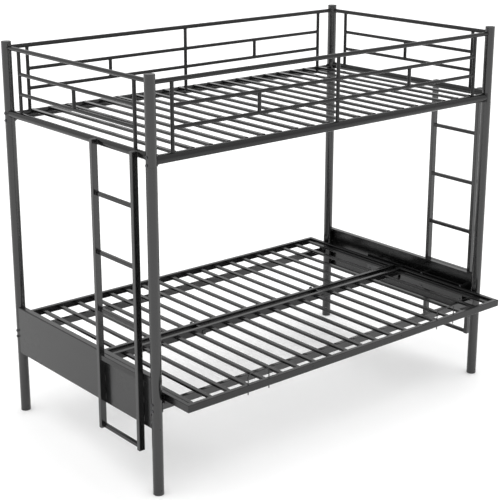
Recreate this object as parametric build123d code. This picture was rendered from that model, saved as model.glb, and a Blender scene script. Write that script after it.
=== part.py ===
from build123d import *
import math
import os

# Twin bunk over a folding futon: steel tube frame, ladder at each end, slatted deck with guards all round.
# Millimetres. +X runs along the length, +Y to the back, +Z up.
# The origin is on the floor, under the middle of the futon as it lies flat.

# Frame: posts, centre to centre, and heights
post_spacing_x = 1950.0
post_spacing_y = 1062.0
post_tube_top = 1738.0
post_joint_z = 1386.0
lower_post_od = 45.6
lower_post_wall = 2.0
upper_post_od = 44.4
upper_post_wall = 1.5
joint_sleeve_od = 41.1
joint_sleeve_wall = 1.5
joint_sleeve_below = 70.0
joint_sleeve_above = 52.0
foot_height = 6.0
foot_edge_radius = 3.0
foot_plug_length = 22.0
foot_plug_od = 41.2
cap_height = 4.0
cap_edge_radius = 1.5
cap_plug_length = 16.0
cap_plug_od = 41.0

# Clearances between pieces
fit_gap = 0.15
loose_gap = 0.3
pin_gap = 0.08
overrun = 1.0

# Upper deck
deck_rail_od = 38.1
deck_rail_wall = 1.5
deck_rail_z = 1409.5
end_rail_od = 31.8
end_rail_wall = 1.5
end_rail_z = 1425.0
slat_width = 20.0
slat_height = 11.0
slat_wall = 1.0
slat_corner = 1.8
deck_slat_count = 20
deck_slat_pitch = 90.9
deck_slat_above_rail = 2.0
deck_slat_end_inset = 6.0

# Guards round the deck
guard_top_od = 19.0
guard_bar_od = 15.9
guard_wall = 1.2
guard_top_z = 1714.5
guard_front_drop = 5.0
guard_mid_z = 1611.0
guard_low_z = 1523.0
guard_upright_from_post = 102.0

# Ladders
upright_width = 19.0
upright_depth = 28.0
upright_face_from_post = 19.5
upright_wall = 1.5
upright_corner = 2.5
upright_top_z = 1437.5
upright_bottom_z = 186.0
front_upright_from_post = 70.0
rear_upright_from_post = 348.0
rung_depth = 16.0
rung_height = 16.0
rung_wall = 1.5
rung_corner = 2.0
top_rung_z = 1216.0
rung_step = 249.2
step_bar_depth = 21.5
step_bar_height = 24.0
plug_head_height = 2.5
plug_stem_length = 14.0

# End panels, folded sheet
panel_sheet = 1.5
panel_flange_depth = 28.0
panel_top_z = 520.0
panel_bottom_z = 293.5
panel_bend = 5.0

# Long rails between the lower posts
stretcher_width = 20.0
stretcher_height = 32.0
stretcher_wall = 1.5
stretcher_corner = 2.5
stretcher_z = 389.5

# Saddle plates on the rail ends and the bolts through the posts
saddle_thickness = 3.0
saddle_height = 40.0
saddle_half_angle = 52.0
boss_od = 12.0
boss_length = 7.0
post_bolt_od = 8.0
post_bolt_head_od = 13.5
post_bolt_head_height = 4.5
post_bolt_length = 54.0
deck_bolt_spacing = 32.0
stretcher_bolt_spacing = 28.0

# Futon: two equal frames that meet at a hinge line
half_depth = 647.6
hinge_gap = 37.4
futon_front_overhang = 168.4
futon_end_clearance = 31.8
futon_rail_width = 20.0
futon_rail_height = 32.0
futon_rail_wall = 1.5
futon_rail_corner = 2.5
futon_rail_bottom_z = 412.0
futon_slat_top_z = 435.0
futon_slat_count = 20
futon_slat_pitch = 94.77

# Hinges between seat and back
hinge_z = 428.0
hinge_pin_od = 8.0
hinge_pin_head_od = 13.0
hinge_pin_head_height = 2.5
lug_thickness = 4.0
lug_radius = 12.0
mid_hinge_x = 374.0
back_lug_thickness = 5.0
back_lug_drop = 8.0
lug_tail_reach = 14.0
lug_tail_z = 433.0
lug_tail_radius = 11.0
lug_hole_od = 7.0
strap_width = 18.0
strap_thickness = 3.0
strap_tab_height = 18.0

# Slotted guides that carry the futon at each end
seat_travel = 140.0
back_fold_degrees = 75.0
guide_sheet = 3.0
guide_first_from_post = 66.0
guide_last_from_hinge = 230.1
guide_bottom_z = 356.0
guide_top_z = 452.0
guide_corner = 8.0
guide_slot_width = 16.6
front_stud_from_post = 120.0
rear_stud_before_hinge = 77.9
cam_stud_behind_hinge = 9.4
cam_stud_below_hinge = 53.0
cam_steps = 12
stud_core_od = 10.0
stud_collar_od = 18.0
stud_head_od = 20.0
stud_head_height = 3.0
bush_length = 7.0
cam_plate_radius = 12.0
cam_plate_reach = 62.0
guide_face_from_post = 18.3
guide_boss_od = 16.0
guide_boss_bore = 14.0
guide_boss_from_ends = 16.0
guide_bolt_od = 6.0
guide_bolt_head_od = 12.0
guide_bolt_head_height = 3.2
guide_bolt_length = 14.0
guide_bolt_low_z = 374.0
guide_bolt_high_z = 442.0

# Glide pads between the stretchers and the futon
pad_length = 18.0
pad_side = 2.0
pad_skirt = 9.0

# Mattress hoops on the seat's front rail
hoop_rod_od = 4.8
hoop_width = 112.5
hoop_from_middle = 571.7
hoop_top_z = 488.0
hoop_bottom_z = 397.0
hoop_bend = 12.0

# Positions that follow from the sizes
futon_depth = 2 * half_depth + hinge_gap
front_post_y = futon_front_overhang - futon_depth / 2
back_post_y = front_post_y + post_spacing_y
post_x = post_spacing_x / 2
futon_half_length = post_x - futon_end_clearance
futon_rail_top_z = futon_rail_bottom_z + futon_rail_height
futon_rail_z = futon_rail_bottom_z + futon_rail_height / 2
deck_slat_z = deck_rail_z + deck_rail_od / 2 + deck_slat_above_rail - slat_height / 2
end_rail_outset = upright_face_from_post - end_rail_od / 2 - fit_gap
panel_inner_from_post = panel_sheet - upright_face_from_post
cam_radius = math.hypot(cam_stud_behind_hinge, cam_stud_below_hinge)
cam_start = math.atan2(-cam_stud_below_hinge, cam_stud_behind_hinge)
back_fold = math.radians(back_fold_degrees)
travel_per_radian = seat_travel / back_fold
guide_first_y = front_post_y + guide_first_from_post
guide_last_y = guide_last_from_hinge
front_stud_y = front_post_y + front_stud_from_post
rear_stud_y = -rear_stud_before_hinge

SIDES = {"left": -1, "right": 1}
ENDS_Y = {"front": front_post_y, "back": back_post_y}


def round_section(od, wall):
    return Circle(od / 2) - Circle(od / 2 - wall)


def box_section(width, height, wall, corner):
    inner = RectangleRounded(width - 2 * wall, height - 2 * wall, max(corner - wall, wall / 4))
    return RectangleRounded(width, height, corner) - inner


def bar(section, start, end):
    """A section run from start to end; its width lies along X, or along Y on a bar that runs along X."""
    run = Vector(*end) - Vector(*start)
    along_x = abs(run.X) > abs(run.Y) + abs(run.Z)
    place = Plane(origin=start, x_dir=(0, 1, 0) if along_x else (1, 0, 0), z_dir=run)
    return place * extrude(section, amount=run.length)


def rod(od, start, end):
    run = Vector(*end) - Vector(*start)
    place = Plane(origin=start, z_dir=run)
    return place * extrude(Circle(od / 2), amount=run.length)


def block(x0, x1, y0, y1, z0, z1):
    """A box between two limits on each axis, given in either order."""
    x0, x1 = sorted((x0, x1))
    y0, y1 = sorted((y0, y1))
    z0, z1 = sorted((z0, z1))
    return Pos((x0 + x1) / 2, (y0 + y1) / 2, (z0 + z1) / 2) * Box(x1 - x0, y1 - y0, z1 - z0)


def rounded_plate(outline, x0, x1):
    """A flat plate whose outline lies in the Y-Z plane, from x0 to x1."""
    x0, x1 = sorted((x0, x1))
    place = Plane(origin=(x0, 0, 0), x_dir=(0, 1, 0), z_dir=(1, 0, 0))
    return place * extrude(outline, amount=x1 - x0)


def disc_at(radius, y, z):
    return Pos(y, z) * Circle(radius)


def area_at(y0, y1, z0, z1):
    return Pos((y0 + y1) / 2, (z0 + z1) / 2) * Rectangle(abs(y1 - y0), abs(z1 - z0))


def post_cut(x, y, od, z0, z1):
    """What a post takes out of a bar that ends against it."""
    return rod(od + 2 * fit_gap, (x, y, z0), (x, y, z1))


def lower_post(x, y):
    tube = bar(round_section(lower_post_od, lower_post_wall), (x, y, foot_height), (x, y, post_joint_z))
    return drilled(tube, x, y, stretcher_z, stretcher_bolt_spacing)


def upper_post(x, y):
    tube = bar(round_section(upper_post_od, upper_post_wall), (x, y, post_joint_z), (x, y, post_tube_top))
    return drilled(tube, x, y, deck_rail_z, deck_bolt_spacing)


def drilled(tube, x, y, z, spacing):
    """Two bolt holes along X, one above the other."""
    for side in (-1, 1):
        hole_z = z + side * spacing / 2
        reach = lower_post_od
        tube -= rod(post_bolt_od + 2 * fit_gap, (x - reach, y, hole_z), (x + reach, y, hole_z))
    return tube


def joint_sleeve(x, y):
    """Inner sleeve that joins the two sections of a post."""
    tube = bar(
        round_section(joint_sleeve_od, joint_sleeve_wall),
        (x, y, post_joint_z - joint_sleeve_below),
        (x, y, post_joint_z + joint_sleeve_above),
    )
    return drilled(tube, x, y, deck_rail_z, deck_bolt_spacing)


def post_foot(x, y):
    pad = Pos(x, y, foot_height / 2) * Cylinder(lower_post_od / 2, foot_height)
    pad = fillet(pad.edges().group_by(Axis.Z)[0], foot_edge_radius)
    return pad + rod(foot_plug_od, (x, y, foot_height), (x, y, foot_height + foot_plug_length))


def post_cap(x, y):
    lid = Pos(x, y, post_tube_top + cap_height / 2) * Cylinder(upper_post_od / 2, cap_height)
    lid = fillet(lid.edges().group_by(Axis.Z)[-1], cap_edge_radius)
    return lid + rod(cap_plug_od, (x, y, post_tube_top - cap_plug_length), (x, y, post_tube_top))


def saddle(x, y, z, post_od, side, spacing):
    """Curved end plate that hugs a post, with two threaded bosses along X."""
    inner = post_od / 2 + fit_gap
    outer = inner + saddle_thickness
    ring = Circle(outer) - Circle(inner)
    reach = 2 * outer
    turn = math.radians(saddle_half_angle)
    wedge = Polygon(
        (0, 0),
        (reach, -reach * math.tan(turn)),
        (reach, reach * math.tan(turn)),
        align=None,
    )
    sector = ring & wedge
    turned = Rot(0, 0, 0 if side > 0 else 180) * sector
    plate = Pos(x, y, z - saddle_height / 2) * extrude(turned, amount=saddle_height)
    for up in (-1, 1):
        boss_z = z + up * spacing / 2
        start = x + side * (inner + saddle_thickness / 2)
        plate += rod(boss_od, (start, y, boss_z), (start + side * boss_length, y, boss_z))
    return plate


def long_rail(section, y, z, post_od, spacing):
    """A rail along X between two posts, with a saddle plate at each end."""
    rail = bar(section, (-post_x, y, z), (post_x, y, z))
    for side in (-1, 1):
        rail += saddle(side * post_x, y, z, post_od, -side, spacing)
    for side in (-1, 1):
        x = side * post_x
        rail -= post_cut(x, y, post_od, z - saddle_height, z + saddle_height)
        for up in (-1, 1):
            hole_z = z + up * spacing / 2
            reach = post_od / 2 + saddle_thickness + boss_length + overrun
            rail -= rod(post_bolt_od + 2 * fit_gap, (x, y, hole_z), (x - side * reach, y, hole_z))
    return rail


def post_bolts(z, spacing, post_od):
    """Button head bolts, pushed in from the outer end of the frame."""
    bolts = []
    for side in (-1, 1):
        for y in ENDS_Y.values():
            for up in (-1, 1):
                head_x = side * (post_x + post_od / 2 + fit_gap)
                bolt_z = z + up * spacing / 2
                tip_x = head_x - side * post_bolt_length
                bolt = rod(post_bolt_od, (head_x, y, bolt_z), (tip_x, y, bolt_z))
                bolts.append(bolt + dome_head(head_x, y, bolt_z, side))
    return bolts


def dome_head(x, y, z, side, od=post_bolt_head_od, height=post_bolt_head_height):
    head = rod(od, (x, y, z), (x + side * height, y, z))
    rim = head.edges().filter_by(GeomType.CIRCLE).group_by(Axis.X)[-1 if side > 0 else 0]
    return fillet(rim, height / 2)


def end_rail_line(side):
    """Centre line of an end rail, set a little outside the post centres."""
    x = side * (post_x + end_rail_outset)
    return (x, front_post_y, end_rail_z), (x, back_post_y, end_rail_z)


def end_rail_cut(side):
    start, end = end_rail_line(side)
    return rod(end_rail_od + 2 * fit_gap, start, end)


def deck_end_rail(side):
    rail = bar(round_section(end_rail_od, end_rail_wall), *end_rail_line(side))
    for y in ENDS_Y.values():
        rail -= post_cut(side * post_x, y, upper_post_od, end_rail_z - end_rail_od, end_rail_z + end_rail_od)
    return rail.solids().sort_by(SortBy.VOLUME)[-1]


def slat_places(count, pitch):
    return [(n - (count - 1) / 2) * pitch for n in range(count)]


def slat(x, y0, y1, z):
    section = box_section(slat_width, slat_height, slat_wall, slat_corner)
    return bar(section, (x, y0, z), (x, y1, z))


def deck_slats():
    """Each slat is coped to the two long rails; the ones by a guard upright are cut round it."""
    y0 = front_post_y + deck_slat_end_inset
    y1 = back_post_y - deck_slat_end_inset
    cuts = [
        rod(deck_rail_od + 2 * fit_gap, (-post_x, y, deck_rail_z), (post_x, y, deck_rail_z))
        for y in ENDS_Y.values()
    ]
    uprights = [
        (x, rod(guard_bar_od + 2 * fit_gap, (x, y, deck_rail_z), (x, y, guard_low_z)))
        for name in ENDS_Y
        for x, y in guard_points(name)[0]
    ]
    slats = []
    for x in slat_places(deck_slat_count, deck_slat_pitch):
        piece = slat(x, y0, y1, deck_slat_z)
        near = [tube for upright_x, tube in uprights if abs(upright_x - x) < (slat_width + guard_bar_od) / 2]
        for tube in cuts + near:
            piece -= tube
        slats.append(piece.solids().sort_by(SortBy.VOLUME)[-1])
    return slats


def guard_bar(start, end, od, cuts):
    piece = bar(round_section(od, guard_wall), start, end)
    for cut in cuts:
        piece -= cut
    return piece


def guard_line(side_name):
    """The two ends of one side of the guard, at the post centres."""
    if side_name in ENDS_Y:
        y = ENDS_Y[side_name]
        return (-post_x, y), (post_x, y)
    x = SIDES[side_name] * post_x
    return (x, front_post_y), (x, back_post_y)


def guard_points(side_name):
    """Places of the full uprights and of the short ones between the two lower bars."""
    (x0, y0), (x1, y1) = guard_line(side_name)
    length = math.hypot(x1 - x0, y1 - y0)

    def at(distance):
        part = distance / length
        return (x0 + (x1 - x0) * part, y0 + (y1 - y0) * part)

    first = guard_upright_from_post
    last = length - guard_upright_from_post
    middle = length / 2
    if side_name in ENDS_Y:
        full = [at(first), at(middle), at(last)]
        short = [at((first + middle) / 2), at((middle + last) / 2)]
    else:
        full = [at(first), at(last)]
        short = [at(middle)]
    return full, short


def guard_top(side_name):
    """Height of a top rail; the front one sits a little lower than the others."""
    return guard_top_z - guard_front_drop if side_name == "front" else guard_top_z


def guard_rails(side_name):
    """Top rail from post to post, and two bars that run only between the full uprights."""
    (x0, y0), (x1, y1) = guard_line(side_name)
    top_z = guard_top(side_name)
    ends = ((x0, y0), (x1, y1))
    posts = [post_cut(x, y, upper_post_od, post_joint_z, post_tube_top) for x, y in ends]
    rails = [guard_bar((x0, y0, top_z), (x1, y1, top_z), guard_top_od, posts)]
    full, short = guard_points(side_name)
    low_z = guard_low_z - guard_bar_od
    uprights = [rod(guard_bar_od + 2 * fit_gap, (x, y, low_z), (x, y, top_z)) for x, y in full]
    for z in (guard_low_z, guard_mid_z):
        for (xa, ya), (xb, yb) in zip(full, full[1:]):
            rails.append(guard_bar((xa, ya, z), (xb, yb, z), guard_bar_od, uprights))
    return rails


def guard_uprights(side_name):
    (x0, y0), (x1, y1) = guard_line(side_name)
    top_z = guard_top(side_name)
    if side_name in ENDS_Y:
        base_z = deck_rail_z
        cope_base = rod(deck_rail_od + 2 * fit_gap, (x0, y0, base_z), (x1, y1, base_z))
    else:
        base_z = end_rail_z
        cope_base = end_rail_cut(SIDES[side_name])
    cope_top = rod(guard_top_od + 2 * fit_gap, (x0, y0, top_z), (x1, y1, top_z))
    full, short = guard_points(side_name)
    uprights = []
    for x, y in full:
        piece = guard_bar((x, y, base_z), (x, y, top_z), guard_bar_od, [cope_base, cope_top])
        uprights.append(piece.solids().sort_by(SortBy.VOLUME)[-1])
    cope_bars = [
        rod(guard_bar_od + 2 * fit_gap, (x0, y0, z), (x1, y1, z)) for z in (guard_low_z, guard_mid_z)
    ]
    for x, y in short:
        uprights.append(guard_bar((x, y, guard_low_z), (x, y, guard_mid_z), guard_bar_od, cope_bars))
    return uprights


def inward(side, distance):
    """X of a plane that lies a distance in from the post centres."""
    return side * (post_x - distance)


def ladder_uprights(side):
    """Two uprights that stand outside the end rail and the panel."""
    x = inward(side, -upright_face_from_post - upright_depth / 2)
    section = box_section(upright_depth, upright_width, upright_wall, upright_corner)
    return [
        bar(section, (x, y, upright_bottom_z), (x, y, upright_top_z))
        for y in ladder_upright_places()
    ]


def ladder_upright_places():
    return (front_post_y + front_upright_from_post, front_post_y + rear_upright_from_post)


def ladder_end_plugs():
    """Plastic plugs in the upper and lower ends of the uprights."""
    stem_depth = upright_depth - 2 * (upright_wall + fit_gap)
    stem_width = upright_width - 2 * (upright_wall + fit_gap)
    head_outline = RectangleRounded(upright_depth, upright_width, upright_corner)
    stem_outline = RectangleRounded(stem_depth, stem_width, upright_corner - upright_wall)
    plugs = []
    for side in SIDES.values():
        x = inward(side, -upright_face_from_post - upright_depth / 2)
        for y in ladder_upright_places():
            for end_z, out in ((upright_bottom_z, -1), (upright_top_z, 1)):
                face = Plane(origin=(x, y, end_z), x_dir=(1, 0, 0), z_dir=(0, 0, out))
                head = extrude(head_outline, amount=plug_head_height)
                head = chamfer(head.edges().group_by(Axis.Z)[-1], plug_head_height / 3)
                stem = extrude(stem_outline, amount=-plug_stem_length)
                plugs.append(face * (head + stem))
    return plugs


def ladder_rung(side, z, depth, height):
    """A rung flush with the inner faces of the uprights."""
    x = inward(side, -upright_face_from_post - depth / 2)
    y0 = front_post_y + front_upright_from_post + upright_width / 2
    y1 = front_post_y + rear_upright_from_post - upright_width / 2
    return bar(box_section(depth, height, rung_wall, rung_corner), (x, y0, z), (x, y1, z))


def ladder_rungs(side):
    """Three rungs above the panel, a step bar on its top edge and one rung at the foot of the ladder."""
    heights = [top_rung_z - n * rung_step for n in range(3)] + [upright_bottom_z + rung_height / 2]
    rungs = [ladder_rung(side, z, rung_depth, rung_height) for z in heights]
    rungs.append(ladder_rung(side, panel_top_z - step_bar_height / 2, step_bar_depth, step_bar_height))
    return rungs


def panel_profile(side):
    """Channel section, open inwards, drawn in the X-Z plane."""
    outer = inward(side, -upright_face_from_post)
    inner = inward(side, panel_flange_depth - upright_face_from_post)
    x0, x1 = sorted((outer, inner))
    height = panel_top_z - panel_bottom_z
    mid_z = (panel_top_z + panel_bottom_z) / 2
    shell = Pos((x0 + x1) / 2, mid_z) * Rectangle(x1 - x0, height)
    bends = shell.vertices().group_by(Axis.X)[0 if side < 0 else -1]
    shell = fillet(bends, panel_bend)
    x_shift = -side * (panel_sheet + overrun) / 2
    hollow = Pos((x0 + x1) / 2 + x_shift, mid_z) * Rectangle(
        x1 - x0 - panel_sheet + overrun, height - 2 * panel_sheet
    )
    corners = hollow.vertices().group_by(Axis.X)[0 if side < 0 else -1]
    hollow = fillet(corners, panel_bend - panel_sheet)
    return shell - hollow


def end_panel(side):
    """Folded sheet between the two lower posts of one end."""
    place = Plane(origin=(0, back_post_y, 0), x_dir=(1, 0, 0), z_dir=(0, -1, 0))
    sheet = place * extrude(panel_profile(side), amount=post_spacing_y)
    for y in ENDS_Y.values():
        sheet -= post_cut(side * post_x, y, lower_post_od, panel_bottom_z, panel_top_z)
    return sheet.solids().sort_by(SortBy.VOLUME)[-1]


def cam_point(turn):
    """Where the back's stud is, when the back has turned by an angle."""
    y = travel_per_radian * turn + cam_radius * math.cos(cam_start + turn)
    z = hinge_z + cam_radius * math.sin(cam_start + turn)
    return y, z


def slot_outline(points):
    """A slot that a bush can run along, from point to point."""
    half = guide_slot_width / 2
    outline = disc_at(half, *points[0])
    for (ya, za), (yb, zb) in zip(points, points[1:]):
        run = math.hypot(yb - ya, zb - za)
        turn = math.degrees(math.atan2(zb - za, yb - ya))
        outline += Pos((ya + yb) / 2, (za + zb) / 2) * Rot(0, 0, turn) * Rectangle(run, guide_slot_width)
        outline += disc_at(half, yb, zb)
    return outline


def straight_slot(y):
    return slot_outline([(y, hinge_z), (y + seat_travel, hinge_z)])


def guide_plate(side):
    """Plate with two straight slots for the seat's studs and a curved one for the back's stud."""
    middle_y = (guide_first_y + guide_last_y) / 2
    middle_z = (guide_bottom_z + guide_top_z) / 2
    outline = Pos(middle_y, middle_z) * RectangleRounded(
        guide_last_y - guide_first_y, guide_top_z - guide_bottom_z, guide_corner
    )
    outline -= straight_slot(front_stud_y)
    outline -= straight_slot(rear_stud_y)
    outline -= slot_outline([cam_point(back_fold * n / cam_steps) for n in range(cam_steps + 1)])
    for y, z in guide_bolt_places():
        outline -= disc_at(guide_bolt_od / 2 + fit_gap, y, z)
    outer = inward(side, guide_face_from_post)
    return rounded_plate(outline, outer, outer - side * guide_sheet)


def guide_bolt_places():
    first = guide_first_y + guide_boss_from_ends
    middle = (front_stud_y + seat_travel + rear_stud_y) / 2
    last = guide_last_y - guide_boss_from_ends
    low, high = guide_bolt_low_z, guide_bolt_high_z
    return [(first, low), (first, high), (middle, low), (middle, high), (last, low)]


def guide_bosses(side):
    """Threaded bosses on the panel that carry the guide plate."""
    start = inward(side, panel_inner_from_post)
    end = inward(side, guide_face_from_post)
    bosses = []
    for y, z in guide_bolt_places():
        hole = rod(guide_bolt_od + 2 * fit_gap, (end, y, z), (end + side * guide_boss_bore, y, z))
        bosses.append(rod(guide_boss_od, (start, y, z), (end, y, z)) - hole)
    return bosses


def guide_bolts(side):
    bolts = []
    for y, z in guide_bolt_places():
        seat = inward(side, guide_face_from_post + guide_sheet)
        tip = seat + side * guide_bolt_length
        shank = rod(guide_bolt_od, (seat, y, z), (tip, y, z))
        bolts.append(shank + dome_head(seat, y, z, -side, guide_bolt_head_od, guide_bolt_head_height))
    return bolts


def glide_pads():
    """Plastic caps on the stretchers, under the futon's side rails."""
    pads = []
    for side in (-1, 1):
        x = side * (futon_half_length - futon_rail_width / 2)
        for y in ENDS_Y.values():
            top = stretcher_z + stretcher_height / 2
            outer = block(
                x - pad_length / 2, x + pad_length / 2,
                y - stretcher_width / 2 - pad_side, y + stretcher_width / 2 + pad_side,
                top - pad_skirt, futon_rail_bottom_z - loose_gap,
            )
            room = block(
                x - pad_length, x + pad_length,
                y - stretcher_width / 2 - fit_gap, y + stretcher_width / 2 + fit_gap,
                top - 2 * pad_skirt, top + fit_gap,
            )
            pads.append(outer - room)
    return pads


def half_frame_limits(half):
    """Front and back faces of the seat half or the back half."""
    if half == "seat":
        return -futon_depth / 2, -hinge_gap / 2
    return hinge_gap / 2, futon_depth / 2


def futon_section():
    return box_section(futon_rail_width, futon_rail_height, futon_rail_wall, futon_rail_corner)


def mitred_area(outer, inner):
    """Prism over a four-cornered area whose slanting sides are the mitres of one rail."""
    area = Polygon(*outer, *inner, align=None)
    return Pos(0, 0, futon_rail_z) * extrude(area, amount=futon_rail_height, both=True)


def futon_cross_rail(y_outer, into):
    """A rail along X, mitred at both ends; into is the way from its outer face to the frame's middle."""
    x_outer = futon_half_length
    x_inner = futon_half_length - futon_rail_width
    y_inner = y_outer + into * futon_rail_width
    y = (y_outer + y_inner) / 2
    rail = bar(futon_section(), (-x_outer, y, futon_rail_z), (x_outer, y, futon_rail_z))
    outer_edge = ((-x_outer, y_outer), (x_outer, y_outer))
    inner_edge = ((x_inner, y_inner), (-x_inner, y_inner))
    return rail & mitred_area(outer_edge, inner_edge)


def futon_rails(half):
    """First and last rail of a half frame, first nearest the front."""
    y0, y1 = half_frame_limits(half)
    return futon_cross_rail(y0, 1), futon_cross_rail(y1, -1)


def futon_side_rails(half):
    y0, y1 = half_frame_limits(half)
    rails = []
    for side in (-1, 1):
        x_outer = side * futon_half_length
        x_inner = side * (futon_half_length - futon_rail_width)
        x = (x_outer + x_inner) / 2
        rail = bar(futon_section(), (x, y0, futon_rail_z), (x, y1, futon_rail_z))
        inner = ((x_inner, y1 - futon_rail_width), (x_inner, y0 + futon_rail_width))
        rails.append(rail & mitred_area(((x_outer, y0), (x_outer, y1)), inner))
    return rails


def futon_slats(half):
    y0, y1 = half_frame_limits(half)
    z = futon_slat_top_z - slat_height / 2
    return [
        slat(x, y0 + futon_rail_width, y1 - futon_rail_width, z)
        for x in slat_places(futon_slat_count, futon_slat_pitch)
    ]


def hinge_hole():
    return disc_at(hinge_pin_od / 2 + pin_gap, 0, hinge_z)


def seat_lug_outline():
    """Knuckle that reaches from the seat's hinge rail to the hinge line."""
    face = -hinge_gap / 2
    arm = area_at(face, 0, hinge_z - lug_radius, hinge_z + lug_radius)
    return disc_at(lug_radius, 0, hinge_z) + arm - hinge_hole()


def mid_hinge_places():
    return (-mid_hinge_x, mid_hinge_x)


def seat_lugs():
    """One lug at each end and a pair at each middle hinge."""
    lugs = []
    outline = seat_lug_outline()
    for side in (-1, 1):
        face = side * (futon_half_length - loose_gap)
        lugs.append(rounded_plate(outline, face, face - side * lug_thickness))
    gap = back_lug_thickness / 2 + loose_gap
    for x in mid_hinge_places():
        for side in (-1, 1):
            lugs.append(rounded_plate(outline, x + side * gap, x + side * (gap + lug_thickness)))
    return lugs


def hinge_strap(x):
    """Strap under the seat's hinge rail, turned up on its front face."""
    back = -hinge_gap / 2
    front = back - futon_rail_width
    low = futon_rail_bottom_z - strap_thickness
    foot = area_at(front - strap_thickness, back, low, futon_rail_bottom_z)
    tab = area_at(front - strap_thickness, front, low, futon_rail_bottom_z + strap_tab_height)
    return rounded_plate(foot + tab, x - strap_width / 2, x + strap_width / 2)


def back_mid_lug(x):
    """Plate cut to fit round the back's hinge rail from below, with a drilled tail behind it."""
    face = hinge_gap / 2
    behind = face + futon_rail_width
    low = futon_rail_bottom_z - back_lug_drop
    tail_y = behind + lug_tail_reach
    outline = disc_at(lug_radius, 0, hinge_z) + area_at(0, face, hinge_z - lug_radius, hinge_z + lug_radius)
    outline += area_at(0, behind, low, hinge_z)
    outline += area_at(behind, tail_y, low, lug_tail_z)
    outline += disc_at(lug_tail_radius, tail_y, lug_tail_z)
    outline -= area_at(face, behind, futon_rail_bottom_z, futon_rail_top_z + overrun)
    outline -= area_at(-lug_radius, 0, low, hinge_z - lug_radius)
    outline -= hinge_hole()
    outline -= disc_at(lug_hole_od / 2, tail_y, lug_tail_z)
    return rounded_plate(outline, x - back_lug_thickness / 2, x + back_lug_thickness / 2)


def back_end_bracket(side):
    """Plate on the outside of the back's side rail: hinge hole and stud for the curved slot."""
    outer = side * futon_half_length
    stud_y = cam_stud_behind_hinge
    stud_z = hinge_z - cam_stud_below_hinge
    rail_low = futon_rail_bottom_z + futon_rail_corner
    rail_high = futon_rail_top_z - futon_rail_corner
    outline = disc_at(lug_radius, 0, hinge_z)
    outline += area_at(0, cam_plate_reach, rail_low, rail_high)
    outline += disc_at(cam_plate_radius, stud_y, stud_z)
    outline += Polygon(
        (stud_y - cam_plate_radius, stud_z),
        (stud_y + cam_plate_radius, stud_z),
        (cam_plate_reach, rail_high),
        (-lug_radius, hinge_z),
        align=None,
    )
    outline -= hinge_hole()
    return rounded_plate(outline, outer, outer + side * lug_thickness)


def hinge_pin(x0, x1):
    """Rivet along X that fills the lugs between x0 and x1."""
    x0, x1 = sorted((x0, x1))
    shank = rod(hinge_pin_od, (x0, 0, hinge_z), (x1, 0, hinge_z))
    heads = rod(hinge_pin_head_od, (x0 - hinge_pin_head_height, 0, hinge_z), (x0, 0, hinge_z))
    heads += rod(hinge_pin_head_od, (x1, 0, hinge_z), (x1 + hinge_pin_head_height, 0, hinge_z))
    return shank + heads


def hinge_pins():
    pins = []
    for side in (-1, 1):
        outer = side * (futon_half_length + lug_thickness + fit_gap)
        inner = side * (futon_half_length - loose_gap - lug_thickness)
        pins.append(hinge_pin(outer, inner))
    grip = back_lug_thickness / 2 + loose_gap + lug_thickness
    for x in mid_hinge_places():
        pins.append(hinge_pin(x - grip, x + grip))
    return pins


def guide_stud(side, y, z, seat_x):
    """Stud from a side rail through the guide: collar, core and outer head."""
    collar_end = inward(side, guide_face_from_post + guide_sheet + fit_gap + loose_gap)
    head_face = collar_end + side * (bush_length + 2 * fit_gap)
    stud = rod(stud_collar_od, (seat_x, y, z), (collar_end, y, z))
    stud += rod(stud_core_od, (collar_end, y, z), (head_face, y, z))
    return stud + rod(stud_head_od, (head_face, y, z), (head_face + side * stud_head_height, y, z))


def guide_bush(side, y, z):
    start = inward(side, guide_face_from_post + guide_sheet + loose_gap)
    section = Circle(guide_slot_width / 2 - loose_gap) - Circle(stud_core_od / 2 + fit_gap)
    return bar(section, (start, y, z), (start + side * bush_length, y, z))


def seat_stud_places():
    return [(y, hinge_z) for y in (front_stud_y, rear_stud_y)]


def cam_stud_place():
    return cam_stud_behind_hinge, hinge_z - cam_stud_below_hinge


def seat_front_rail():
    """Front rail, drilled for the hoop legs."""
    rail, _ = futon_rails("seat")
    for x, y in hoop_leg_places():
        low = (x, y, futon_rail_bottom_z - overrun)
        high = (x, y, futon_rail_top_z + overrun)
        rail -= rod(hoop_rod_od + 2 * fit_gap, low, high)
    return rail


def hoop_leg_places():
    y = -futon_depth / 2 + futon_rail_width / 2
    return [
        (side * hoop_from_middle + leg * hoop_width / 2, y)
        for side in (-1, 1)
        for leg in (-1, 1)
    ]


def mattress_hoop(side):
    """Bent rod that stands up from the front rail and keeps the mattress in place."""
    y = -futon_depth / 2 + futon_rail_width / 2
    x0 = side * hoop_from_middle - hoop_width / 2
    x1 = side * hoop_from_middle + hoop_width / 2
    path = FilletPolyline(
        (x0, y, hoop_bottom_z),
        (x0, y, hoop_top_z),
        (x1, y, hoop_top_z),
        (x1, y, hoop_bottom_z),
        radius=hoop_bend,
    )
    start = Plane(origin=(x0, y, hoop_bottom_z), z_dir=(0, 0, 1))
    return sweep(start * Circle(hoop_rod_od / 2), path=path)


def frame_nodes():
    nodes = {}
    corners = [(s, side * post_x, e, y) for s, side in SIDES.items() for e, y in ENDS_Y.items()]
    for side_name, x, end_name, y in corners:
        nodes[f"{end_name}_{side_name}_lower_post"] = [lower_post(x, y)]
        nodes[f"{end_name}_{side_name}_upper_post"] = [upper_post(x, y)]
    spots = [(x, y) for _, x, _, y in corners]
    nodes["post_joint_sleeves"] = [joint_sleeve(x, y) for x, y in spots]
    nodes["post_feet"] = [post_foot(x, y) for x, y in spots]
    nodes["post_caps"] = [post_cap(x, y) for x, y in spots]
    return nodes


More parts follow.
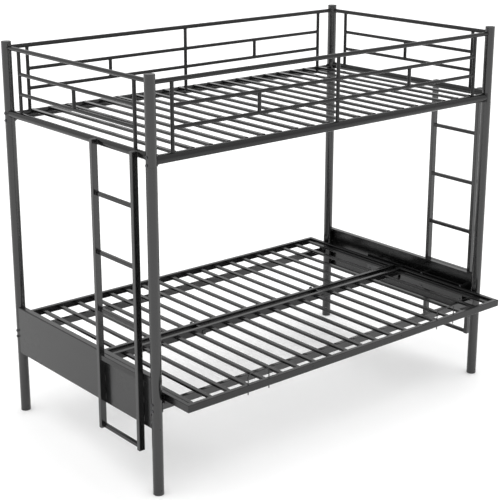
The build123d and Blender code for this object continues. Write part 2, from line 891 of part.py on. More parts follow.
def deck_nodes():
    nodes = {}
    round_rail = round_section(deck_rail_od, deck_rail_wall)
    for name, y in ENDS_Y.items():
        nodes[f"deck_{name}_rail"] = [long_rail(round_rail, y, deck_rail_z, upper_post_od, deck_bolt_spacing)]
    for name, side in SIDES.items():
        nodes[f"deck_{name}_rail"] = [deck_end_rail(side)]
    nodes["deck_slats"] = deck_slats()
    nodes["deck_rail_bolts"] = post_bolts(deck_rail_z, deck_bolt_spacing, upper_post_od)
    for name in ("front", "back", "left", "right"):
        nodes[f"{name}_guard_rails"] = guard_rails(name)
        nodes[f"{name}_guard_uprights"] = guard_uprights(name)
    return nodes


def end_nodes():
    nodes = {}
    for name, side in SIDES.items():
        nodes[f"{name}_ladder_uprights"] = ladder_uprights(side)
        nodes[f"{name}_ladder_rungs"] = ladder_rungs(side)
        nodes[f"{name}_end_panel"] = [end_panel(side)]
        nodes[f"{name}_guide_plate"] = [guide_plate(side)]
    nodes["ladder_end_plugs"] = ladder_end_plugs()
    nodes["guide_bosses"] = guide_bosses(-1) + guide_bosses(1)
    nodes["guide_bolts"] = guide_bolts(-1) + guide_bolts(1)
    box_rail = box_section(stretcher_width, stretcher_height, stretcher_wall, stretcher_corner)
    for name, y in ENDS_Y.items():
        nodes[f"{name}_lower_stretcher"] = [
            long_rail(box_rail, y, stretcher_z, lower_post_od, stretcher_bolt_spacing)
        ]
    nodes["stretcher_bolts"] = post_bolts(stretcher_z, stretcher_bolt_spacing, lower_post_od)
    nodes["stretcher_glide_pads"] = glide_pads()
    return nodes


def seat_nodes():
    nodes = {}
    nodes["seat_front_rail"] = [seat_front_rail()]
    nodes["seat_hinge_rail"] = [futon_rails("seat")[1]]
    nodes["seat_side_rails"] = futon_side_rails("seat")
    nodes["seat_slats"] = futon_slats("seat")
    nodes["seat_hinge_lugs"] = seat_lugs()
    nodes["seat_hinge_straps"] = [hinge_strap(x) for x in mid_hinge_places()]
    nodes["hinge_pins"] = hinge_pins()
    nodes["seat_mattress_hoops"] = [mattress_hoop(side) for side in (-1, 1)]
    places = [(side, y, z) for side in (-1, 1) for y, z in seat_stud_places()]
    nodes["seat_guide_studs"] = [guide_stud(s, y, z, s * futon_half_length) for s, y, z in places]
    nodes["seat_guide_bushes"] = [guide_bush(s, y, z) for s, y, z in places]
    return nodes


def back_nodes():
    nodes = {}
    first, last = futon_rails("back")
    nodes["back_hinge_rail"] = [first]
    nodes["back_top_rail"] = [last]
    nodes["back_side_rails"] = futon_side_rails("back")
    nodes["back_slats"] = futon_slats("back")
    nodes["back_hinge_lugs"] = [back_mid_lug(x) for x in mid_hinge_places()]
    nodes["back_end_brackets"] = [back_end_bracket(side) for side in (-1, 1)]
    y, z = cam_stud_place()
    seat_x = futon_half_length + lug_thickness
    nodes["back_guide_studs"] = [guide_stud(s, y, z, s * seat_x) for s in (-1, 1)]
    nodes["back_guide_bushes"] = [guide_bush(s, y, z) for s in (-1, 1)]
    return nodes


def write(nodes):
    os.makedirs("parts", exist_ok=True)
    for name, pieces in nodes.items():
        solids = [solid for piece in pieces for solid in piece.solids()]
        shape = solids[0] if len(solids) == 1 else Compound(children=solids)
        export_step(shape, f"parts/{name}.step")


write({**frame_nodes(), **deck_nodes(), **end_nodes(), **seat_nodes(), **back_nodes()})
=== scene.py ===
import bpy, bmesh, math
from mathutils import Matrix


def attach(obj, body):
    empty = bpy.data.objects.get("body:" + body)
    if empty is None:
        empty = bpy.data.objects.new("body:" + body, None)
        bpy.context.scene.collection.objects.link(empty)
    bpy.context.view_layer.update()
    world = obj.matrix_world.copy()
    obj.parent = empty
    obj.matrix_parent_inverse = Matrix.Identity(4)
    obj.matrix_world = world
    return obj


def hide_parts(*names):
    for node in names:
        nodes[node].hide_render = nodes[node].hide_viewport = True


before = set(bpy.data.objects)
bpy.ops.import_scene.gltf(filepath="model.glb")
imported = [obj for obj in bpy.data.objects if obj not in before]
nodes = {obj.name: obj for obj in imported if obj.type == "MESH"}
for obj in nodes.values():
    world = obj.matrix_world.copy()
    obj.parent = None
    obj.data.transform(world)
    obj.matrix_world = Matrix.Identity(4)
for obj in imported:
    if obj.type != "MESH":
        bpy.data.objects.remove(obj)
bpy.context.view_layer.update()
scene = bpy.context.scene
scene.view_settings.view_transform = "Standard"

# Camera at the photo's angle: metres, degrees, and millimetres for the lens and the sensor
CAMERA_PLACE = (-3.6932, -4.3064, 2.5688)
CAMERA_TURN = (73.062, 0.105, -39.583)
LENS = 91.21
SENSOR_WIDTH = 36.0
SHIFT_X = 0.0235
SHIFT_Y = -0.0462
FARTHEST_SEEN = 60.0

camera_data = bpy.data.cameras.new("photo_camera")
camera_data.sensor_fit = "HORIZONTAL"
camera_data.sensor_width = SENSOR_WIDTH
camera_data.lens = LENS
camera_data.shift_x = SHIFT_X
camera_data.shift_y = SHIFT_Y
camera_data.clip_end = FARTHEST_SEEN
camera = bpy.data.objects.new("photo_camera", camera_data)
camera.location = CAMERA_PLACE
camera.rotation_euler = [math.radians(turn) for turn in CAMERA_TURN]
scene.collection.objects.link(camera)
scene.camera = camera


# Node trees: operators join wires, and one method adds any other node
class Wire:
    """One output socket. An operator between wires and numbers adds a Math node."""

    def __init__(self, graph, socket):
        self.graph = graph
        self.socket = socket

    def __add__(self, other):
        return self.graph.math("ADD", self, other)

    def __radd__(self, other):
        return self.graph.math("ADD", other, self)

    def __sub__(self, other):
        return self.graph.math("SUBTRACT", self, other)

    def __rsub__(self, other):
        return self.graph.math("SUBTRACT", other, self)

    def __mul__(self, other):
        return self.graph.math("MULTIPLY", self, other)

    def __rmul__(self, other):
        return self.graph.math("MULTIPLY", other, self)

    def band(self, low, high, to_low=0.0, to_high=1.0):
        """A smooth step of this value, from to_low at low to to_high at high."""
        sockets = {"Value": self, "From Min": low, "From Max": high, "To Min": to_low, "To Max": to_high}
        return self.graph.node("ShaderNodeMapRange", {"interpolation_type": "SMOOTHSTEP"}, sockets, "Result")


class Graph:
    """A node tree under construction."""

    def __init__(self, tree):
        self.tree = tree

    def node(self, kind, settings, sockets, out=0):
        """Add a node: its settings first, then its sockets' values or links. Gives the wire of one output."""
        node = self.tree.nodes.new(kind)
        for name, value in settings.items():
            setattr(node, name, value)
        for name, value in sockets.items():
            self.feed(node.inputs[name], value)
        return Wire(self, node.outputs[out])

    def feed(self, socket, value):
        if isinstance(value, Wire):
            self.tree.links.new(value.socket, socket)
        else:
            socket.default_value = value

    def math(self, operation, first, second):
        return self.node("ShaderNodeMath", {"operation": operation}, {0: first, 1: second})


# Finishes; the colour sockets of a Mix node go by number
COLOUR_A = 6
COLOUR_B = 7
MIXED_COLOUR = 2


class Finish(Graph):
    """A material under construction, whose textures lie in object coordinates."""

    def __init__(self, name):
        self.material = bpy.data.materials.new(name)
        self.material.use_nodes = True
        super().__init__(self.material.node_tree)
        self.place = self.node("ShaderNodeTexCoord", {}, {}, "Object")

    def noise(self, scale, detail=3.0, stretch=None):
        place = self.place
        if stretch:
            place = self.node("ShaderNodeVectorMath", {"operation": "MULTIPLY"}, {0: place, 1: stretch})
        sockets = {"Vector": place, "Scale": scale, "Detail": detail, "Roughness": 0.55}
        return self.node("ShaderNodeTexNoise", {}, sockets, "Fac")

    def cells(self, scale):
        """The distance to the nearest of many scattered points."""
        sockets = {"Vector": self.place, "Scale": scale}
        return self.node("ShaderNodeTexVoronoi", {"feature": "F1"}, sockets, "Distance")

    def mix(self, share, low, high):
        """The colour that lies a share of the way from low to high."""
        sockets = {"Factor": share, COLOUR_A: low, COLOUR_B: high}
        return self.node("ShaderNodeMix", {"data_type": "RGBA"}, sockets, MIXED_COLOUR)

    def edge(self, radius):
        """0 on flat faces, rising to 1 where a face turns within the radius."""
        rounded = self.node("ShaderNodeBevel", {"samples": 6}, {"Radius": radius}, "Normal")
        plain = self.node("ShaderNodeNewGeometry", {}, {}, "Normal")
        sockets = {0: rounded, 1: plain}
        alike = self.node("ShaderNodeVectorMath", {"operation": "DOT_PRODUCT"}, sockets, "Value")
        return (1.0 - alike).band(0.01, 0.25)

    def relief(self, *layers):
        """Bump layers, each a height with its depth in metres, one over the other."""
        sockets = {"Strength": 1.0}
        for height, depth in layers:
            sockets["Height"] = height
            sockets["Distance"] = depth
            sockets["Normal"] = self.node("ShaderNodeBump", {}, sockets, "Normal")
        return sockets["Normal"]

    def surface(self, sockets):
        """Feed the surface shader, which makes the material complete."""
        shader = self.tree.nodes["Principled BSDF"]
        for name, value in sockets.items():
            self.feed(shader.inputs[name], value)
        return self.material


def tone(colour, strength=1.0):
    """A colour, made darker or paler, as a socket takes it."""
    return (*(part * strength for part in colour), 1.0)


def powder_coat(name, base, worn, gloss, sheen, peel_depth=0.00006):
    """Baked powder paint: near black, clouded, with fine orange peel, paler where an edge is rubbed."""
    coat = Finish(name)
    cloud = coat.noise(scale=3.1, detail=4.0)
    mottle = coat.noise(scale=41.0)
    grain = coat.noise(scale=950.0, detail=2.0)
    peel = coat.noise(scale=420.0, detail=2.0)
    speck = coat.cells(scale=260.0).band(0.10, 0.02)
    rub = coat.edge(radius=0.0016) * coat.noise(scale=23.0, detail=4.0).band(0.42, 0.68)
    body = coat.mix(cloud.band(0.3, 0.7), tone(base, 0.82), tone(base, 1.22))
    body = coat.mix(mottle.band(0.35, 0.75) * 0.35, body, tone(base, 1.3))
    body = coat.mix(speck * grain.band(0.45, 0.7) * 0.35, body, tone(base, 0.55))
    body = coat.mix(rub * 0.6, body, tone(worn))
    rough = cloud.band(0.25, 0.75, gloss - 0.05, gloss + 0.05) + (grain - 0.5) * 0.10 + (mottle - 0.5) * 0.06
    normal = coat.relief((peel, peel_depth), (grain, peel_depth * 0.35))
    return coat.surface({"Base Color": body, "Roughness": rough, "IOR": sheen, "Normal": normal})


def moulded_plastic(name, base, gloss):
    """Moulded plastic: even colour, matt spark-eroded grain and a few scuffs."""
    resin = Finish(name)
    cloud = resin.noise(scale=9.0)
    grain = resin.cells(scale=1300.0)
    scuff = resin.noise(scale=60.0, detail=5.0, stretch=(1.0, 6.0, 1.0)).band(0.62, 0.74)
    body = resin.mix(cloud.band(0.3, 0.7), tone(base, 0.85), tone(base, 1.15))
    body = resin.mix(scuff * 0.35, body, tone(base, 2.2))
    rough = cloud.band(0.2, 0.8, gloss - 0.04, gloss + 0.06) + scuff * 0.08
    normal = resin.relief((grain, 0.00004), (scuff, 0.00002))
    return resin.surface({"Base Color": body, "Roughness": rough, "Normal": normal})


def turned_nylon(name, base):
    """Lathe-turned nylon: fine rings round the X axis."""
    resin = Finish(name)
    sockets = {"Vector": resin.place, "Scale": 900.0, "Distortion": 0.6}
    rings = resin.node("ShaderNodeTexWave", {"bands_direction": "X"}, sockets, "Fac")
    cloud = resin.noise(scale=30.0)
    body = resin.mix(cloud.band(0.3, 0.7), tone(base, 0.8), tone(base, 1.2))
    rough = cloud.band(0.2, 0.8, 0.42, 0.52)
    normal = resin.relief((rings, 0.00002))
    return resin.surface({"Base Color": body, "Roughness": rough, "Normal": normal})


def black_oxide(name, base, worn):
    """Blackened steel: metallic, with faint drawing lines, brighter on rubbed edges."""
    metal = Finish(name)
    cloud = metal.noise(scale=70.0, detail=4.0)
    drawn = metal.noise(scale=500.0, detail=2.0, stretch=(0.08, 1.0, 1.0))
    rub = metal.edge(radius=0.0008) * cloud.band(0.35, 0.6)
    body = metal.mix(cloud.band(0.3, 0.7), tone(base, 0.75), tone(base, 1.25))
    body = metal.mix(rub * 0.7, body, tone(worn))
    rough = cloud.band(0.2, 0.8, 0.30, 0.42)
    shine = rub.band(0.0, 1.0, 0.75, 0.95)
    normal = metal.relief((drawn, 0.00002))
    return metal.surface({"Base Color": body, "Roughness": rough, "Metallic": shine, "Normal": normal})


FRAME_BLACK = (0.004, 0.004, 0.0041)
BAR_BLACK = (0.0035, 0.0035, 0.0036)
RUBBED_FRAME = (0.05, 0.05, 0.051)
RUBBED_FUTON = (0.045, 0.045, 0.046)
RUBBED_BAR = (0.04, 0.04, 0.041)

coat_frame = powder_coat("frame_powder_coat", FRAME_BLACK, RUBBED_FRAME, gloss=0.21, sheen=1.66)
coat_sheet = powder_coat("panel_powder_coat", FRAME_BLACK, RUBBED_FRAME, gloss=0.24, sheen=1.52,
                         peel_depth=0.00005)
coat_futon = powder_coat("futon_powder_coat", FRAME_BLACK, RUBBED_FUTON, gloss=0.21, sheen=1.47)
coat_bars = powder_coat("bar_powder_coat", BAR_BLACK, RUBBED_BAR, gloss=0.19, sheen=1.42)
plastic = moulded_plastic("end_plastic", base=(0.036, 0.036, 0.037), gloss=0.48)
nylon = turned_nylon("bush_nylon", base=(0.042, 0.042, 0.043))
steel = black_oxide("bolt_black_oxide", base=(0.095, 0.095, 0.10), worn=(0.30, 0.30, 0.31))

PLASTIC_NODES = ("post_caps", "post_feet", "stretcher_glide_pads", "ladder_end_plugs")
NYLON_NODES = ("seat_guide_bushes", "back_guide_bushes")
STEEL_NODES = ("deck_rail_bolts", "stretcher_bolts", "guide_bolts", "hinge_pins",
               "seat_guide_studs", "back_guide_studs")
SHEET_NODES = ("left_end_panel", "right_end_panel")


def finish_of(node_name):
    if node_name in PLASTIC_NODES:
        return plastic
    if node_name in NYLON_NODES:
        return nylon
    if node_name in STEEL_NODES:
        return steel
    if node_name in SHEET_NODES:
        return coat_sheet
    if "guard" in node_name or node_name.endswith(("slats", "rungs")) or node_name.startswith("deck_"):
        return coat_bars
    if node_name.startswith(("seat_", "back_")) and "post" not in node_name and "stretcher" not in node_name:
        return coat_futon
    return coat_frame


for name, cad in nodes.items():
    cad.data.materials.clear()
    cad.data.materials.append(finish_of(name))
    for face in cad.data.polygons:
        face.material_index = 0

# Sizes and places on the frame, in metres; R is a radius
X, Y, Z = 0, 1, 2
SIDES = (-1, 1)
POST_X = 0.975
FRONT_Y = -0.4979
BACK_Y = 0.5641
POST_ROWS_INWARD = ((FRONT_Y, 1), (BACK_Y, -1))
UPPER_POST_R = 0.0222
LOWER_POST_R = 0.0228

DECK_Z = 1.4095
DECK_RAIL_R = 0.01905
END_RAIL_X = 0.97845
END_RAIL_Z = 1.425
END_RAIL_R = 0.0159
STRETCHER_Z = 0.3895

BAR_R = 0.00795
GUARD_Z = (1.523, 1.611)
TOP_Z = 1.7145
FRONT_TOP_Z = 1.7095
TOP_RAIL_R = 0.0095
UPRIGHT_FROM_POST = 0.102
OUTER_UPRIGHT_X = POST_X - UPRIGHT_FROM_POST
SHORT_UPRIGHT_X = OUTER_UPRIGHT_X / 2
UPRIGHT_OVER_END_RAIL = 0.0155

LADDER_FACE_X = 0.9945
LADDER_Y = (-0.4279, -0.1499)
LADDER_HALF = 0.0095
LADDER_CORNER = 0.002
RUNG_Z = (1.216, 0.9668, 0.7176, 0.194)
RUNG_HALF = 0.008
STEP_Z = 0.508
STEP_HALF_DEPTH = 0.01075
STEP_HALF_HEIGHT = 0.012
DECK_SEAM_HALF = 0.009
PANEL_SEAM_Z = (0.312, 0.395, 0.466)
PANEL_SEAM_LENGTH = 0.026

SLAT_COUNT = 20
SLAT_HALF_W = 0.010
SLAT_HALF_H = 0.0055
SLAT_CORNER = 0.0018
DECK_SLAT_STEP = 0.0909
DECK_SLAT_Z = 1.42505
DECK_SLAT_LEAST_REACH = 0.0062
FUTON_SLAT_STEP = 0.09477
FUTON_SLAT_Z = 0.4295

FUTON_X = 0.9432
FUTON_Y = 0.6663
HINGE_FACE_Y = 0.0187
RAIL_W = 0.020
RAIL_TOP_Z = 0.444
RAIL_LOW_Z = 0.412
MITRE_INSET = 0.0007
CORNER_SEAM_FROM_LOW = 0.003
CORNER_SEAM_FROM_TOP = 0.001

BEAD_R = 0.0012
SLAT_BEAD_R = 0.0010
MITRE_BEAD_R = 0.0006
RIPPLE = 0.0026
MITRE_RIPPLE = 0.0015


def piece(name, verts, edges=()):
    mesh = bpy.data.meshes.new(name)
    mesh.from_pydata(verts, edges, [])
    mesh.update()
    obj = bpy.data.objects.new(name, mesh)
    scene.collection.objects.link(obj)
    return obj


# Seams: each is its points and whether it closes on itself
def ring(centre, axis, radius, steps=16):
    """A circle round an axis."""
    a, b = [n for n in (X, Y, Z) if n != axis]
    points = []
    for n in range(steps):
        point = list(centre)
        point[a] += radius * math.cos(2 * math.pi * n / steps)
        point[b] += radius * math.sin(2 * math.pi * n / steps)
        points.append(tuple(point))
    return points, True


def oblong(centre, axis, half_a, half_b, corner):
    """A rounded rectangle square to an axis; half_a is along the first of the other two axes."""
    a, b = [n for n in (X, Y, Z) if n != axis]
    points = []
    for side_a, side_b, start in ((1, 1, 0), (-1, 1, 90), (-1, -1, 180), (1, -1, 270)):
        for turn in (0, 45, 90):
            angle = math.radians(start + turn)
            point = list(centre)
            point[a] += side_a * (half_a - corner) + corner * math.cos(angle)
            point[b] += side_b * (half_b - corner) + corner * math.sin(angle)
            points.append(tuple(point))
    return points, True


def long_guard_seams():
    """Front and back guards: top rails at the posts, and uprights at the rails and bars."""
    seams = []
    for y, top in ((FRONT_Y, FRONT_TOP_Z), (BACK_Y, TOP_Z)):
        for side in SIDES:
            seams.append(ring((side * (POST_X - UPPER_POST_R), y, top), X, TOP_RAIL_R))
            for z, away in zip(GUARD_Z, (BAR_R, -BAR_R)):
                seams.append(ring((side * SHORT_UPRIGHT_X, y, z + away), Z, BAR_R))
        for x in (-OUTER_UPRIGHT_X, 0.0, OUTER_UPRIGHT_X):
            seams.append(ring((x, y, DECK_Z + DECK_RAIL_R), Z, BAR_R))
            seams.append(ring((x, y, top - TOP_RAIL_R), Z, BAR_R))
            barred = [side for side in SIDES if side * x <= 0.0]
            seams += [ring((x + side * BAR_R, y, z), X, BAR_R) for z in GUARD_Z for side in barred]
    return seams


def end_guard_seams():
    """Left and right guards, and the deck's end rails at the posts."""
    seams = []
    for side in SIDES:
        x = side * POST_X
        for y, way in POST_ROWS_INWARD:
            post_face = y + way * UPPER_POST_R
            upright = y + way * UPRIGHT_FROM_POST
            seams.append(ring((x, post_face, TOP_Z), Y, TOP_RAIL_R))
            seams.append(ring((side * END_RAIL_X, post_face, END_RAIL_Z), Y, END_RAIL_R, steps=24))
            seams.append(ring((x, upright, END_RAIL_Z + UPRIGHT_OVER_END_RAIL), Z, BAR_R))
            seams.append(ring((x, upright, TOP_Z - TOP_RAIL_R), Z, BAR_R))
            seams += [ring((x, upright + way * BAR_R, z), Y, BAR_R) for z in GUARD_Z]
        middle = (FRONT_Y + BACK_Y) / 2
        seams += [ring((x, middle, z + away), Z, BAR_R) for z, away in zip(GUARD_Z, (BAR_R, -BAR_R))]
    return seams


def ladder_seams():
    """Rungs and step bar at the uprights, and the uprights at the end rail and the panel."""
    seams = []
    for side in SIDES:
        face = side * LADDER_FACE_X
        rung_x = side * (LADDER_FACE_X + RUNG_HALF)
        step_x = side * (LADDER_FACE_X + STEP_HALF_DEPTH)
        for y in (LADDER_Y[0] + LADDER_HALF, LADDER_Y[1] - LADDER_HALF):
            seams += [oblong((rung_x, y, z), Y, RUNG_HALF, RUNG_HALF, LADDER_CORNER) for z in RUNG_Z]
            seams.append(oblong((step_x, y, STEP_Z), Y, STEP_HALF_DEPTH, STEP_HALF_HEIGHT, LADDER_CORNER))
        for y in LADDER_Y:
            for edge in (y - LADDER_HALF, y + LADDER_HALF):
                ends = [(END_RAIL_Z - DECK_SEAM_HALF, END_RAIL_Z + DECK_SEAM_HALF)]
                ends += [(low, low + PANEL_SEAM_LENGTH) for low in PANEL_SEAM_Z]
                seams += [([(face, edge, low), (face, edge, high)], False) for low, high in ends]
    return seams


def slat_x(n, step):
    return (n - (SLAT_COUNT - 1) / 2) * step


def deck_slat_seams():
    """Loops round the slats where they meet the round rails."""
    seams = []
    for y, way in POST_ROWS_INWARD:
        for n in range(SLAT_COUNT):
            centre = (slat_x(n, DECK_SLAT_STEP), y, DECK_SLAT_Z)
            points, closed = oblong(centre, Y, SLAT_HALF_W, SLAT_HALF_H, SLAT_CORNER)
            shaped = []
            for px, py, pz in points:
                reach = math.sqrt(max(DECK_RAIL_R ** 2 - (pz - DECK_Z) ** 2, 0.0))
                shaped.append((px, py + way * max(DECK_SLAT_LEAST_REACH, reach), pz))
            seams.append((shaped, closed))
    return seams


def futon_slat_seams(outer, inner):
    """Loops round the slats of one half, at its outer rail and its hinge rail."""
    way = 1 if outer > inner else -1
    seams = []
    for n in range(SLAT_COUNT):
        for y in (outer - way * RAIL_W, inner + way * RAIL_W):
            centre = (slat_x(n, FUTON_SLAT_STEP), y, FUTON_SLAT_Z)
            seams.append(oblong(centre, Y, SLAT_HALF_W, SLAT_HALF_H, SLAT_CORNER))
    return seams


def mitre_seams(outer, inner):
    """Seams on top and at the corners; the underside slides on the pads, so it is ground flush."""
    way = 1 if outer > inner else -1
    seams = []
    for side in SIDES:
        for y, turn in ((outer, -way), (inner, way)):
            corner = (side * (FUTON_X - MITRE_INSET), y + turn * MITRE_INSET, RAIL_TOP_Z)
            inside = (side * (FUTON_X - RAIL_W), y + turn * RAIL_W, RAIL_TOP_Z)
            low = (side * FUTON_X, y, RAIL_LOW_Z + CORNER_SEAM_FROM_LOW)
            high = (side * FUTON_X, y, RAIL_TOP_Z - CORNER_SEAM_FROM_TOP)
            seams.append(([corner, inside], False))
            seams.append(([low, high], False))
    return seams


# Geometry Nodes trees that grow a piece from its lines or points
class Grower(Graph):
    """A tree that takes a mesh and ends in one painted mesh."""

    def __init__(self, name, sizes=()):
        tree = bpy.data.node_groups.new(name, "GeometryNodeTree")
        tree.interface.new_socket("Geometry", in_out="INPUT", socket_type="NodeSocketGeometry")
        self.identifiers = {}
        for size in sizes:
            socket = tree.interface.new_socket(size, in_out="INPUT", socket_type="NodeSocketFloat")
            self.identifiers[size] = socket.identifier
        tree.interface.new_socket("Geometry", in_out="OUTPUT", socket_type="NodeSocketGeometry")
        super().__init__(tree)

    def given(self, name):
        return self.node("NodeGroupInput", {}, {}, name)

    def paint(self, geometry, finish):
        """End the tree: make the geometry real and give it its finish."""
        real = self.node("GeometryNodeRealizeInstances", {}, {"Geometry": geometry})
        painted = self.node("GeometryNodeSetMaterial", {}, {"Geometry": real, "Material": finish})
        self.feed(self.tree.nodes.new("NodeGroupOutput").inputs["Geometry"], painted)

    def grow(self, obj, sizes=None):
        """Give the object the tree's result as its own plain mesh."""
        modifier = obj.modifiers.new("grow", "NODES")
        modifier.node_group = self.tree
        for size, value in (sizes or {}).items():
            modifier[self.identifiers[size]] = value
        evaluated = obj.evaluated_get(bpy.context.evaluated_depsgraph_get())
        made = bpy.data.meshes.new_from_object(evaluated)
        obj.modifiers.clear()
        obj.data = made


def bead_grower(finish):
    """Lines in, rippled weld beads out."""
    beads = Grower("weld_bead", ("Bead radius", "Ripple step"))
    line = beads.node("GeometryNodeMeshToCurve", {}, {"Mesh": beads.given("Geometry")})
    sockets = {"Curve": line, "Length": beads.given("Ripple step")}
    line = beads.node("GeometryNodeResampleCurve", {"mode": "LENGTH"}, sockets)
    noise = beads.node("ShaderNodeTexNoise", {}, {"Scale": 620.0, "Detail": 1.0})
    sockets = {"Value": noise, "From Min": 0.3, "From Max": 0.7, "To Min": 0.72, "To Max": 1.28}
    swell = beads.node("ShaderNodeMapRange", {}, sockets)
    sockets = {"Resolution": 5, "Radius": beads.given("Bead radius")}
    section = beads.node("GeometryNodeCurvePrimitiveCircle", {}, sockets)
    sockets = {"Curve": line, "Profile Curve": section, "Scale": swell, "Fill Caps": True}
    bead = beads.node("GeometryNodeCurveToMesh", {}, sockets)
    beads.paint(beads.node("GeometryNodeSetShadeSmooth", {}, {"Geometry": bead}), finish)
    return beads


def welds(name, body, seams, finish, bead, ripple=RIPPLE):
    verts = []
    edges = []
    for points, closed in seams:
        first = len(verts)
        verts += points
        edges += [(first + n, first + n + 1) for n in range(len(points) - 1)]
        if closed:
            edges.append((len(verts) - 1, first))
    obj = piece(name, verts, edges)
    bead_grower(finish).grow(obj, {"Bead radius": bead, "Ripple step": ripple})
    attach(obj, body)


guard_and_ladder_seams = long_guard_seams() + end_guard_seams() + ladder_seams()
welds("guard_and_ladder_welds", "bunk_frame", guard_and_ladder_seams, coat_frame, BEAD_R)
welds("deck_slat_welds", "bunk_frame", deck_slat_seams(), coat_frame, SLAT_BEAD_R)
welds("seat_slat_welds", "seat", futon_slat_seams(-FUTON_Y, -HINGE_FACE_Y), coat_futon, SLAT_BEAD_R)
welds("back_slat_welds", "back", futon_slat_seams(FUTON_Y, HINGE_FACE_Y), coat_futon, SLAT_BEAD_R)
welds("seat_mitre_welds", "seat", mitre_seams(-FUTON_Y, -HINGE_FACE_Y), coat_futon,
      MITRE_BEAD_R, MITRE_RIPPLE)
welds("back_mitre_welds", "back", mitre_seams(FUTON_Y, HINGE_FACE_Y), coat_futon,
      MITRE_BEAD_R, MITRE_RIPPLE)

# Button head bolts with hexagon sockets, and rivets of the same shape, in metres
POST_BOLT = {"head_r": 0.00675, "head_h": 0.0045, "shank_r": 0.004, "length": 0.054, "socket_r": 0.0029}
GUIDE_BOLT = {"head_r": 0.006, "head_h": 0.0032, "shank_r": 0.003, "length": 0.014, "socket_r": 0.0023}
RIVET = {"head_r": 0.0031, "head_h": 0.0014, "shank_r": 0.0018, "length": 0.004, "socket_r": 0.0011}
SHOULDER_SHARE = 0.35
CROWN_SHARE = 0.42
UNDER_HEAD_SHARE = 0.98
TIP_SHARE = 0.8
TIP_LENGTH = 0.0012
SOCKET_MOUTH_SHARE = 1.04
SOCKET_MOUTH_DEPTH = 0.0004
SOCKET_FLOOR_SHARE = 0.35
SOCKET_RIM_DEPTH = 0.0006
SAME_PLACE = 1e-6
SIXTH_TURN = math.pi / 3


def bolt_mesh(name, head_r, head_h, shank_r, length, socket_r, steps=24):
    """A bolt along +X: its head starts at 0 and its shank runs to -length."""
    mesh = bmesh.new()

    def loop(x, radius, hexagon=False):
        verts = []
        for n in range(steps):
            angle = 2 * math.pi * n / steps
            reach = radius
            if hexagon:
                reach *= math.cos(SIXTH_TURN / 2) / math.cos(angle % SIXTH_TURN - SIXTH_TURN / 2)
            verts.append(mesh.verts.new((x, reach * math.cos(angle), reach * math.sin(angle))))
        return verts

    loops = [
        loop(-length, shank_r * TIP_SHARE),
        loop(TIP_LENGTH - length, shank_r),
        loop(0.0, shank_r),
        loop(0.0, head_r * UNDER_HEAD_SHARE),
    ]
    for degrees in (0, 25, 50, 72, 90):
        angle = math.radians(degrees)
        height = head_h * (SHOULDER_SHARE + (1 - SHOULDER_SHARE) * math.sin(angle))
        radius = head_r * (CROWN_SHARE + (1 - CROWN_SHARE) * math.cos(angle))
        loops.append(loop(height, radius))
    loops += [
        loop(head_h, socket_r * SOCKET_MOUTH_SHARE, hexagon=True),
        loop(head_h - SOCKET_MOUTH_DEPTH, socket_r, hexagon=True),
        loop(head_h * SOCKET_FLOOR_SHARE, socket_r, hexagon=True),
    ]
    for low, high in zip(loops, loops[1:]):
        for n in range(steps):
            after = (n + 1) % steps
            mesh.faces.new((low[n], low[after], high[after], high[n]))
    mesh.faces.new(list(reversed(loops[0])))
    mesh.faces.new(loops[-1])
    bmesh.ops.recalc_face_normals(mesh, faces=mesh.faces)
    for face in mesh.faces:
        face.smooth = len(face.verts) == 4
    data = bpy.data.meshes.new(name)
    mesh.to_mesh(data)
    mesh.free()
    for edge in data.edges:
        a, b = (data.vertices[v].co.x for v in edge.vertices)
        if abs(a - b) < SAME_PLACE and a > head_h - SOCKET_RIM_DEPTH:
            edge.use_edge_sharp = True
    return data


def sample_object(data):
    obj = bpy.data.objects.new(data.name, data)
    scene.collection.objects.link(obj)
    return obj


def set_on_points(name, body, finish, sample, places):
    """One solid copy of the sample at each place, which is a point and the turn of the copy there."""
    copier = Grower(name + "_tree")
    shape = copier.node("GeometryNodeObjectInfo", {}, {"Object": sample}, "Geometry")
    settings = {"data_type": "FLOAT_VECTOR"}
    facing = copier.node("GeometryNodeInputNamedAttribute", settings, {"Name": "facing"}, "Attribute")
    sockets = {"Points": copier.given("Geometry"), "Instance": shape, "Rotation": facing}
    copier.paint(copier.node("GeometryNodeInstanceOnPoints", {}, sockets), finish)
    obj = piece(name, [point for point, _ in places])
    turns = obj.data.attributes.new("facing", "FLOAT_VECTOR", "POINT")
    for n, (_, turn) in enumerate(places):
        turns.data[n].vector = turn
    copier.grow(obj)
    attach(obj, body)
    return obj


TO_RIGHT = (0.0, 0.0, 0.0)
TO_LEFT = (0.0, 0.0, math.pi)
TO_FRONT = (0.0, 0.0, -math.pi / 2)
POST_BOLT_STAND_OFF = 0.00015
DECK_BOLT_SPACING = 0.032
STRETCHER_BOLT_SPACING = 0.028
GUIDE_BOLT_X = 0.9537
GUIDE_BOLT_Y = (FRONT_Y + 0.082, FRONT_Y + 0.340, BACK_Y - 0.350)
GUIDE_BOLT_LOW_Z = 0.374
GUIDE_BOLT_HIGH_Z = 0.442
RIVET_STAND_OFF = 0.00005
POST_RIVET_Z = (0.296, 0.022)
RAIL_RIVET_X = (-0.2738, 0.2694)
RAIL_RIVET_Z = 0.430


def outward(side):
    return TO_RIGHT if side > 0 else TO_LEFT


def post_bolt_places(z, spacing, post_r):
    """Two bolts, one above the other, on the outer face of each post."""
    face = POST_X + post_r + POST_BOLT_STAND_OFF
    return [((side * face, y, z + up * spacing / 2), outward(side))
            for side in SIDES for y in (FRONT_Y, BACK_Y) for up in (-1, 1)]


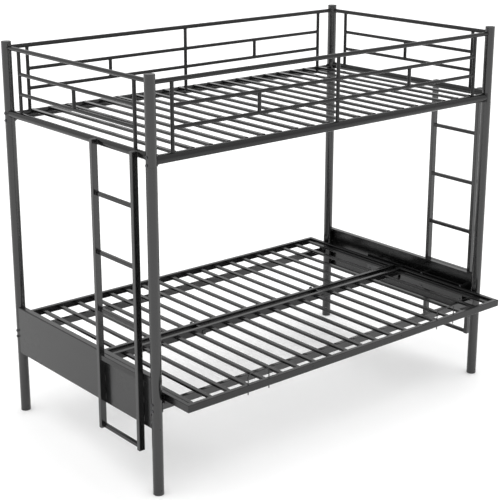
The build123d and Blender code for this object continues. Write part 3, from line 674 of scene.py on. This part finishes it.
def guide_bolt_places():
    """Pairs of bolts at the front and the middle of each guide plate, and one at its back."""
    front, middle, back = GUIDE_BOLT_Y
    spots = [(y, z) for y in (front, middle) for z in (GUIDE_BOLT_LOW_Z, GUIDE_BOLT_HIGH_Z)]
    spots.append((back, GUIDE_BOLT_LOW_Z))
    return [((side * GUIDE_BOLT_X, y, z), outward(-side)) for side in SIDES for y, z in spots]


def post_rivet_places():
    """Rivets on the front face of each lower post."""
    return [((side * POST_X, y - LOWER_POST_R + RIVET_STAND_OFF, z), TO_FRONT)
            for side in SIDES for y in (FRONT_Y, BACK_Y) for z in POST_RIVET_Z]


def rail_rivet_places():
    return [((x, -FUTON_Y + RIVET_STAND_OFF, RAIL_RIVET_Z), TO_FRONT) for x in RAIL_RIVET_X]


post_bolt = sample_object(bolt_mesh("post_bolt", **POST_BOLT))
guide_bolt = sample_object(bolt_mesh("guide_bolt", **GUIDE_BOLT))
rivet = sample_object(bolt_mesh("rivet", **RIVET, steps=12))

deck_bolts = set_on_points("deck_post_bolts", "bunk_frame", steel, post_bolt,
                           post_bolt_places(DECK_Z, DECK_BOLT_SPACING, UPPER_POST_R))
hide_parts("deck_rail_bolts")
lower_bolts = set_on_points("lower_post_bolts", "bunk_frame", steel, post_bolt,
                            post_bolt_places(STRETCHER_Z, STRETCHER_BOLT_SPACING, LOWER_POST_R))
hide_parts("stretcher_bolts")
plate_bolts = set_on_points("guide_plate_bolts", "bunk_frame", steel, guide_bolt,
                            guide_bolt_places())
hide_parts("guide_bolts")
set_on_points("post_rivets", "bunk_frame", coat_frame, rivet, post_rivet_places())
set_on_points("front_rail_rivets", "seat", coat_futon, rivet, rail_rivet_places())
for sample in (post_bolt, guide_bolt, rivet):
    bpy.data.objects.remove(sample)

# Floor, in metres
FLOOR_HALF = 30.0
WHITE = (1.0, 1.0, 1.0)

floor_corners = [(-FLOOR_HALF, -FLOOR_HALF, 0), (FLOOR_HALF, -FLOOR_HALF, 0),
                 (FLOOR_HALF, FLOOR_HALF, 0), (-FLOOR_HALF, FLOOR_HALF, 0)]
floor_mesh = bpy.data.meshes.new("studio_floor")
floor_mesh.from_pydata(floor_corners, [], [(0, 1, 2, 3)])
floor = bpy.data.objects.new("studio_floor", floor_mesh)
scene.collection.objects.link(floor)
floor_paint = Finish("studio_white")
floor_mesh.materials.append(
    floor_paint.surface({"Base Color": tone(WHITE), "Roughness": 1.0, "Specular IOR Level": 0.0}))

# Light: white walls under a greyer ceiling, all white to the rays that show the background
CEILING_FROM = 0.05
CEILING_WHOLE_FROM = 0.60
CEILING_SHADE = 0.35

world = bpy.data.worlds.new("studio")
scene.world = world
world.use_nodes = True
studio = Graph(world.node_tree)
direction = studio.node("ShaderNodeTexCoord", {}, {}, "Generated")
height = studio.node("ShaderNodeSeparateXYZ", {}, {0: direction}, "Z")
light = height.band(CEILING_FROM, CEILING_WHOLE_FROM, 1.0, CEILING_SHADE)
for ray in ("Is Camera Ray", "Is Glossy Ray", "Is Transmission Ray"):
    light = studio.math("MAXIMUM", light, studio.node("ShaderNodeLightPath", {}, {}, ray))
world_back = world.node_tree.nodes["Background"]
studio.feed(world_back.inputs["Color"], light)
studio.feed(world_back.inputs["Strength"], 1.0)

# A lamp as wide as a bright ceiling, which leaves no hard shadow or highlight
DAYLIGHT_ANGLE = 100.0
DAYLIGHT_STRENGTH = 2.85

daylight_data = bpy.data.lights.new("broad_daylight", "SUN")
daylight_data.angle = math.radians(DAYLIGHT_ANGLE)
daylight_data.energy = DAYLIGHT_STRENGTH
daylight = bpy.data.objects.new("broad_daylight", daylight_data)
daylight.visible_glossy = False
scene.collection.objects.link(daylight)
